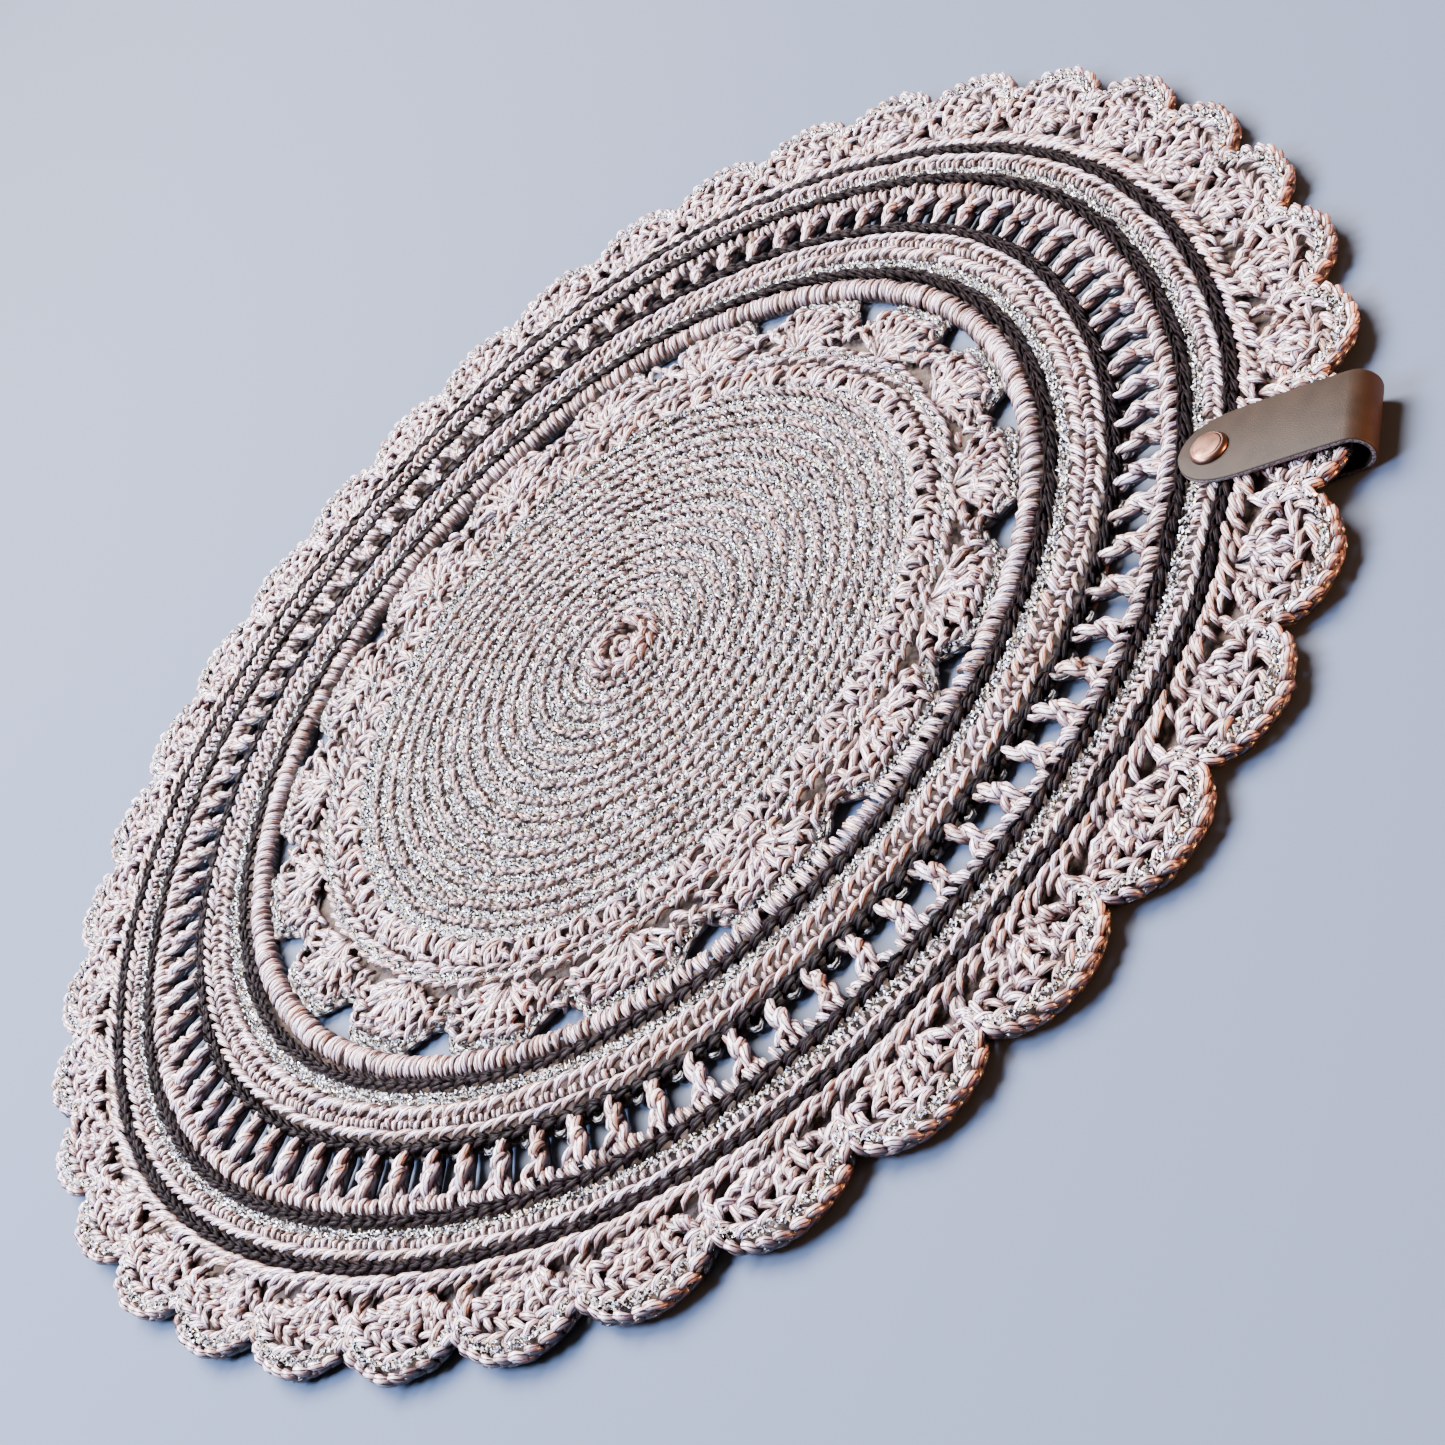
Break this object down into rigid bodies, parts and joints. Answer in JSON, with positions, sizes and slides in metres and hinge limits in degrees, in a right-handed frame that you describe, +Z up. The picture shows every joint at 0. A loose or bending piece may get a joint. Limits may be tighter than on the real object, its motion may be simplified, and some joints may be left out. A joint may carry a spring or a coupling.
{
  "type": "crochet placemat",
  "caption": "Round crochet placemat with a scalloped rim, open trellis, dark chain rounds and a folded leather tag held by a rivet.",
  "frame": {"origin": "middle of the flat underside, on the surface that the mat lies on", "axes": "+Z up out of the mat's face, -Y towards the leather tag, +X to the right seen from the tag's side"},
  "size_m": [0.3795, 0.3825, 0.0102],
  "materials": {
    "taupe_cord": "soft two-ply cord, crocheted, matt with a faint sheen",
    "silver_thread": "sparkling metallic thread worked along with the cord",
    "dark_cord": "dark brown cord, chain stitched, matt",
    "leather": "satin taupe leather with a suede back and cut edges",
    "rivet_metal": "copper-plated brass, satin with a bright rim"
  },
  "bodies": {
    "root": {"mat": "taupe_cord", "chain_1": "dark_cord", "chain_2": "dark_cord", "chain_3": "dark_cord", "chain_4": "dark_cord", "leather_tag": "leather", "rivet": "rivet_metal"}
  },
  "joints": []
}
